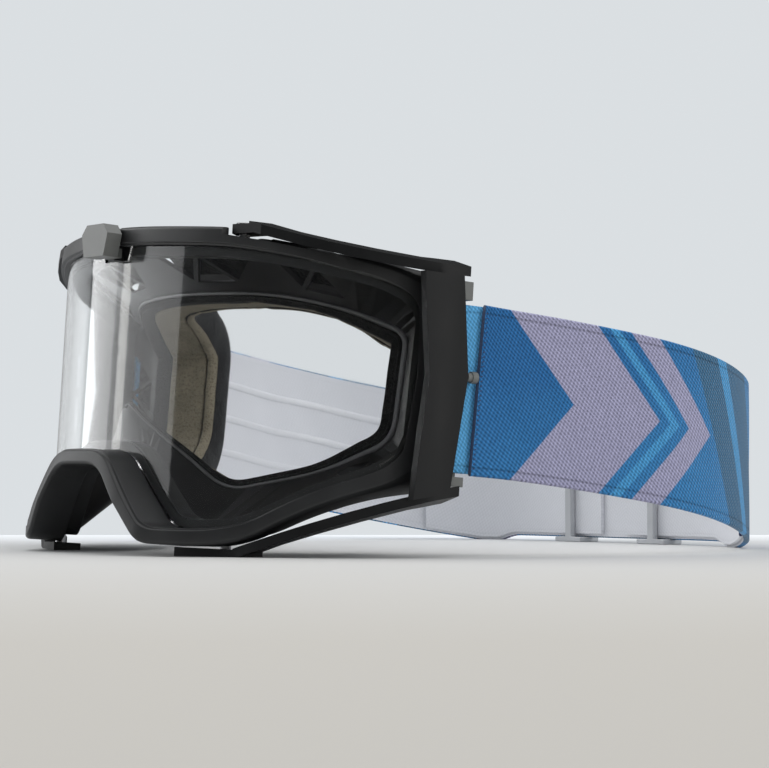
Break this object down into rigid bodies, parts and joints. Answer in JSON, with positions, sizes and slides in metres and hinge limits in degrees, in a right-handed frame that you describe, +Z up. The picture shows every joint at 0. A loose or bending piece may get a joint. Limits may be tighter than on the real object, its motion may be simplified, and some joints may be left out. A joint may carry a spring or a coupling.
{
  "type": "motocross goggles",
  "caption": "Motocross goggles with clear quick-change lens, hinged strap outriggers, layered face foam and a wide elastic strap.",
  "frame": {"origin": "middle of the whole object's footprint, on the table it rests on", "axes": "+X to the wearer's left, -Y the way the lens faces, +Z up from the table"},
  "size_m": [0.1974, 0.2024, 0.0917],
  "materials": {
    "frame": "matte",
    "inner": "satin",
    "grey_plastic": "satin",
    "buckle": "satin",
    "steel": "satin",
    "lens": "clear",
    "seal": "matte",
    "foam_firm": "open foam",
    "foam_soft": "open foam",
    "fleece": "brushed fleece",
    "vent_foam": "open foam",
    "strap_web": "woven elastic",
    "loop_web": "woven elastic",
    "silicone": "satin"
  },
  "bodies": {
    "goggle_frame": {"outer_frame": "frame", "inner_frame": "inner", "lens_seal": "seal", "foam_base": "foam_firm", "foam_middle": "foam_soft", "foam_fleece": "fleece", "vent_foam_top": "vent_foam", "vent_foam_side": "vent_foam", "vent_foam_lower": "vent_foam", "latch_pin": "steel", "hinge_pin_upper_left": "steel", "hinge_pin_upper_right": "steel", "hinge_pin_lower_left": "steel", "hinge_pin_lower_right": "steel", "strap_main": "strap_web", "strap_tail_left": "strap_web", "strap_tail_right": "strap_web", "grip_lines_left": "silicone", "grip_lines_right": "silicone"},
    "lens_sheet": {"lens": "lens"},
    "latch": {"latch_clip": "grey_plastic"},
    "outrigger_left": {"outrigger_left": "frame", "strap_bar_left": "grey_plastic", "lock_stud_left": "grey_plastic", "strap_loop_left": "loop_web", "strap_end_left": "strap_web"},
    "outrigger_right": {"outrigger_right": "frame", "strap_bar_right": "grey_plastic", "lock_stud_right": "grey_plastic", "strap_loop_right": "loop_web", "strap_end_right": "strap_web"},
    "adjuster_left": {"slider_left": "buckle"},
    "adjuster_right": {"slider_right": "buckle"}
  },
  "joints": [
    {"name": "lens_release", "type": "slide", "parent": "goggle_frame", "child": "lens_sheet", "axis": [0, -0.9976, 0.0698], "range_m": [0, 0.06]},
    {"name": "latch_lift", "type": "hinge", "parent": "goggle_frame", "child": "latch", "pos_m": [0, -0.08487, 0.08831], "axis": [-1, 0, 0], "range_deg": [0, 65]},
    {"name": "outrigger_left_swing", "type": "hinge", "parent": "goggle_frame", "child": "outrigger_left", "pos_m": [0.045, -0.07716, 0.04808], "axis": [0, -0.0698, -0.9976], "range_deg": [0, 12]},
    {"name": "outrigger_right_swing", "type": "hinge", "parent": "goggle_frame", "child": "outrigger_right", "pos_m": [-0.045, -0.07716, 0.04808], "axis": [0, 0.0698, 0.9976], "range_deg": [0, 12]},
    {"name": "adjuster_left_slide", "type": "slide", "parent": "goggle_frame", "child": "adjuster_left", "axis": [1, 0, 0], "range_m": [-0.006, 0.008]},
    {"name": "adjuster_right_slide", "type": "slide", "parent": "goggle_frame", "child": "adjuster_right", "axis": [-1, 0, 0], "range_m": [-0.006, 0.008]}
  ]
}
